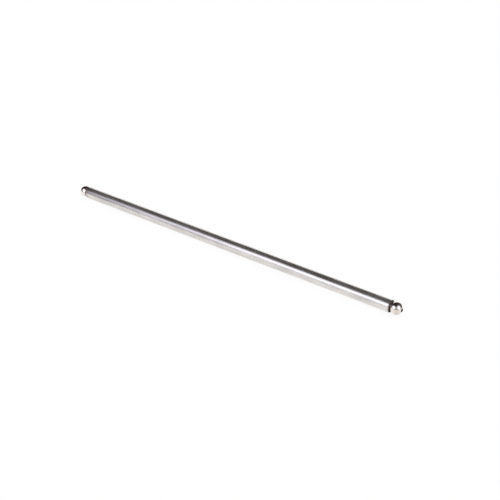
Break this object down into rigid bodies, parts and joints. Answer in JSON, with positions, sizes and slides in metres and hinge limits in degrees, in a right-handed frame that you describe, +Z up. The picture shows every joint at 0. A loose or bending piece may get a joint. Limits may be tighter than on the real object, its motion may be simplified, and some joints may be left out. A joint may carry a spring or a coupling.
{
  "type": "engine pushrod",
  "caption": "Engine pushrod: a straight bare-steel tube with a hardened, drilled ball tip pressed into each end, which carries the cam follower's push and oil up to the rocker arm.",
  "frame": {"origin": "middle of the rod's length, on the rod's axis", "axes": "+X along the rod toward the rocker end, +Z up with the rod lying on its side"},
  "size_m": [0.2668, 0.008, 0.008],
  "materials": {
    "tube_steel": "bare drawn steel tube, centreless ground and lightly polished, fine grain around the tube",
    "tip_steel": "bare hardened steel, ball ground and polished bright, shank and neck as turned"
  },
  "bodies": {
    "root": {"tube": "tube_steel", "rocker_tip": "tip_steel", "lifter_tip": "tip_steel"}
  },
  "joints": []
}
